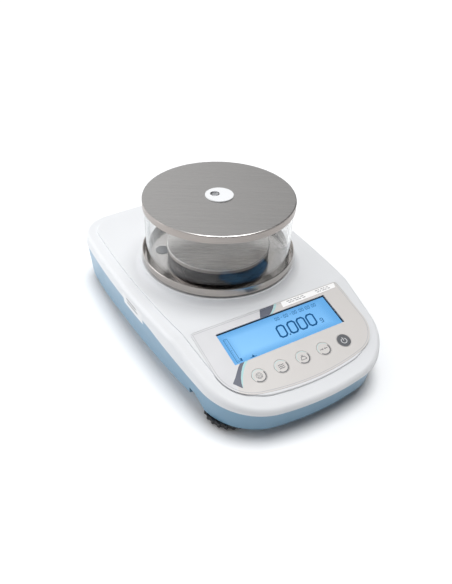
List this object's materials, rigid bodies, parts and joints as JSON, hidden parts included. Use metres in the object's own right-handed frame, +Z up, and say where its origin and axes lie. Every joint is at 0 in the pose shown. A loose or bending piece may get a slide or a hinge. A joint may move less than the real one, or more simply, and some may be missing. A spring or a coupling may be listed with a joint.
{
  "type": "precision balance",
  "caption": "Top-loading laboratory balance with a round glass draught shield, lift-off lid, sprung pan, sloping keypad with a lit display, and levelling feet.",
  "frame": {"origin": "on the bench top under the middle of the body's box", "axes": "+Y to the rear (the panel faces -Y), +Z up, +X to the right of a person who faces the panel"},
  "size_m": [0.2126, 0.3343, 0.1367],
  "materials": {
    "shell_white": "satin moulded ABS",
    "tray_blue": "satin moulded ABS",
    "overlay_film": "printed polyester film, fine texture",
    "key_film": "printed polyester film over a dome",
    "window_clear": "clear acrylic",
    "lcd_blue": "backlit liquid crystal display",
    "backlight_white": "light guide",
    "steel_plain": "pressed steel, bright",
    "steel_brushed": "brushed stainless steel",
    "ring_dark": "polished black nickel",
    "board_green": "solder mask on glass-epoxy board",
    "part_black": "moulded epoxy and nylon",
    "cast_alloy": "as-cast aluminium",
    "alloy_machined": "machined aluminium",
    "screw_steel": "zinc-plated steel",
    "brass": "turned brass",
    "rubber_black": "moulded rubber",
    "foot_black": "moulded nylon, lobed edge",
    "foam_grey": "closed-cell foam",
    "plug_grey": "moulded nylon",
    "insert_white": "moulded acetal",
    "glass_clear": "polished clear glass",
    "level_liquid": "tinted liquid under a clear window",
    "connector_plate": "powder-coated sheet",
    "ribbon_grey": "flat ribbon lead"
  },
  "bodies": {
    "base": {"upper_housing": "shell_white", "lower_housing": "tray_blue", "keypad_overlay": "overlay_film", "display_window": "window_clear", "lcd_glass": "lcd_blue", "lcd_backlight": "backlight_white", "lcd_frame": "steel_plain", "display_board": "board_green", "display_ribbon": "ribbon_grey", "chamber_floor": "steel_brushed", "floor_gasket": "foam_grey", "floor_plug": "plug_grey", "draft_ring": "ring_dark", "spindle_collar": "part_black", "load_cell": "alloy_machined", "mechanism_base": "cast_alloy", "overload_stop": "steel_plain", "signal_board": "board_green", "signal_shield": "steel_plain", "main_board": "board_green", "connector_panel": "connector_plate", "power_socket": "part_black", "serial_shell": "screw_steel", "serial_pins": "part_black", "level_cup": "part_black", "level_vial": "level_liquid", "housing_screws": "screw_steel", "display_screws": "screw_steel", "key_switches": "part_black", "mechanism_screws": "screw_steel", "cell_screws": "screw_steel", "signal_posts": "brass", "main_board_parts": "part_black", "board_screws": "screw_steel", "serial_jackscrews": "screw_steel", "foot_inserts": "brass"},
    "carrier": {"load_adapter": "alloy_machined", "adapter_screws": "screw_steel", "pan_spindle": "steel_plain", "pan_support": "alloy_machined", "support_bumpers": "rubber_black"},
    "pan": {"weighing_pan": "steel_brushed"},
    "glass": {"shield_glass": "glass_clear"},
    "lid": {"shield_lid": "steel_brushed", "lid_insert": "insert_white"},
    "print_key": {"key_print": "key_film"},
    "menu_key": {"key_menu": "key_film"},
    "calibrate_key": {"key_calibrate": "key_film"},
    "tare_key": {"key_tare": "key_film"},
    "power_key": {"key_power": "key_film"},
    "pad_front_left": {"foot_pad_front_left": "rubber_black"},
    "wheel_front_left": {"foot_screw_front_left": "foot_black"},
    "pad_front_right": {"foot_pad_front_right": "rubber_black"},
    "wheel_front_right": {"foot_screw_front_right": "foot_black"},
    "pad_rear_left": {"foot_pad_rear_left": "rubber_black"},
    "wheel_rear_left": {"foot_screw_rear_left": "foot_black"},
    "pad_rear_right": {"foot_pad_rear_right": "rubber_black"},
    "wheel_rear_right": {"foot_screw_rear_right": "foot_black"}
  },
  "joints": [
    {"name": "carrier_deflection", "type": "slide", "parent": "base", "child": "carrier", "axis": [0, 0, -1], "range_m": [0, 0.0003], "stiffness_N_per_m": 10000, "springref_m": -0.0003},
    {"name": "pan_lift", "type": "slide", "parent": "carrier", "child": "pan", "axis": [0, 0, 1], "range_m": [0, 0.03]},
    {"name": "glass_lift", "type": "slide", "parent": "base", "child": "glass", "axis": [0, 0, 1], "range_m": [0, 0.07]},
    {"name": "lid_lift", "type": "slide", "parent": "glass", "child": "lid", "axis": [0, 0, 1], "range_m": [0, 0.05]},
    {"name": "print_press", "type": "slide", "parent": "base", "child": "print_key", "axis": [0, 0.2419, -0.9703], "range_m": [0, 0.00045], "stiffness_N_per_m": 2000, "springref_m": -0.0003},
    {"name": "menu_press", "type": "slide", "parent": "base", "child": "menu_key", "axis": [0, 0.2419, -0.9703], "range_m": [0, 0.00045], "stiffness_N_per_m": 2000, "springref_m": -0.0003},
    {"name": "calibrate_press", "type": "slide", "parent": "base", "child": "calibrate_key", "axis": [0, 0.2419, -0.9703], "range_m": [0, 0.00045], "stiffness_N_per_m": 2000, "springref_m": -0.0003},
    {"name": "tare_press", "type": "slide", "parent": "base", "child": "tare_key", "axis": [0, 0.2419, -0.9703], "range_m": [0, 0.00045], "stiffness_N_per_m": 2000, "springref_m": -0.0003},
    {"name": "power_press", "type": "slide", "parent": "base", "child": "power_key", "axis": [0, 0.2419, -0.9703], "range_m": [0, 0.00045], "stiffness_N_per_m": 2000, "springref_m": -0.0003},
    {"name": "front_left_travel", "type": "slide", "parent": "base", "child": "pad_front_left", "axis": [0, 0, -1], "range_m": [0, 0.006]},
    {"name": "front_left_turn", "type": "hinge", "parent": "pad_front_left", "child": "wheel_front_left", "pos_m": [-0.066, -0.1165, 0.007], "axis": [0, 0, -1], "range_deg": [0, 2160]},
    {"name": "front_right_travel", "type": "slide", "parent": "base", "child": "pad_front_right", "axis": [0, 0, -1], "range_m": [0, 0.006]},
    {"name": "front_right_turn", "type": "hinge", "parent": "pad_front_right", "child": "wheel_front_right", "pos_m": [0.066, -0.1165, 0.007], "axis": [0, 0, -1], "range_deg": [0, 2160]},
    {"name": "rear_left_travel", "type": "slide", "parent": "base", "child": "pad_rear_left", "axis": [0, 0, -1], "range_m": [0, 0.006]},
    {"name": "rear_left_turn", "type": "hinge", "parent": "pad_rear_left", "child": "wheel_rear_left", "pos_m": [-0.066, 0.116, 0.007], "axis": [0, 0, -1], "range_deg": [0, 2160]},
    {"name": "rear_right_travel", "type": "slide", "parent": "base", "child": "pad_rear_right", "axis": [0, 0, -1], "range_m": [0, 0.006]},
    {"name": "rear_right_turn", "type": "hinge", "parent": "pad_rear_right", "child": "wheel_rear_right", "pos_m": [0.066, 0.116, 0.007], "axis": [0, 0, -1], "range_deg": [0, 2160]}
  ],
  "couplings": [
    {"joint": "front_left_travel", "follows": "front_left_turn", "m_per_rad": 0.00015915},
    {"joint": "front_right_travel", "follows": "front_right_turn", "m_per_rad": 0.00015915},
    {"joint": "rear_left_travel", "follows": "rear_left_turn", "m_per_rad": 0.00015915},
    {"joint": "rear_right_travel", "follows": "rear_right_turn", "m_per_rad": 0.00015915}
  ]
}
